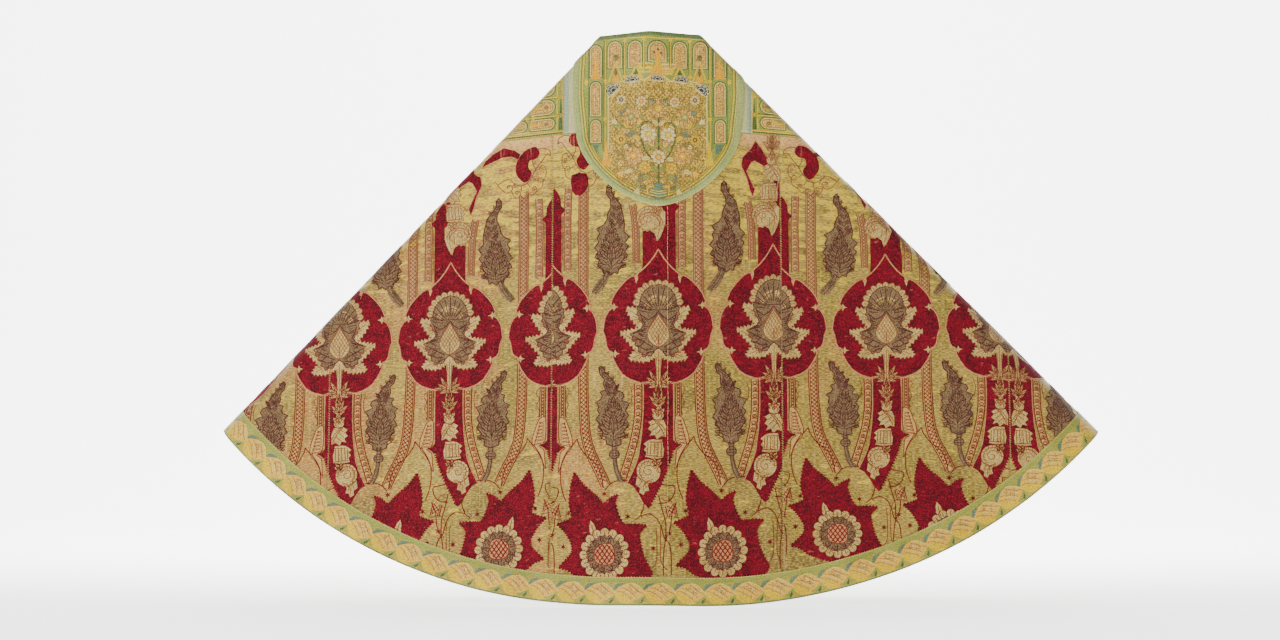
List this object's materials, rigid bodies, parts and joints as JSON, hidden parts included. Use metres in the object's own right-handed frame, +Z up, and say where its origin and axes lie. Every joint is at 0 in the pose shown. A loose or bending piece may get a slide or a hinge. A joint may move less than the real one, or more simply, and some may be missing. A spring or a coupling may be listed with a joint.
{
  "type": "cope vestment",
  "caption": "Half-round church cloak of patterned velvet, worn as a hollow cone open at neck, front and hem, with orphreys, a shield hood and a hem band.",
  "frame": {"origin": "middle of the neck opening, level with the neck edge at the nape, where the wearer's neck and shoulders hold the cope", "axes": "+X to the wearer's right, -Y to the back with the hood, +Z up"},
  "size_m": [2.2316, 0.7351, 1.4434],
  "materials": {
    "velvet": "crimson cut pile on a woven gold ground",
    "orphrey_silk": "silk and gold thread, gold with green frames",
    "neck_silk": "plain grey-blue silk",
    "hood_silk": "silk and gold thread, gold with green frames",
    "hood_ribbon_silk": "plain pale green silk",
    "neck_ribbon_silk": "plain dark green silk",
    "hem_silk": "woven leaf scales in gold, peach and green"
  },
  "bodies": {
    "root": {"velvet_far_left": "velvet", "velvet_left": "velvet", "velvet_centre": "velvet", "velvet_right": "velvet", "velvet_far_right": "velvet", "orphrey_left": "orphrey_silk", "orphrey_right": "orphrey_silk", "neck_panel": "neck_silk", "hood": "hood_silk", "hood_ribbon": "hood_ribbon_silk", "neck_ribbon": "neck_ribbon_silk", "hem_band": "hem_silk"}
  },
  "joints": []
}
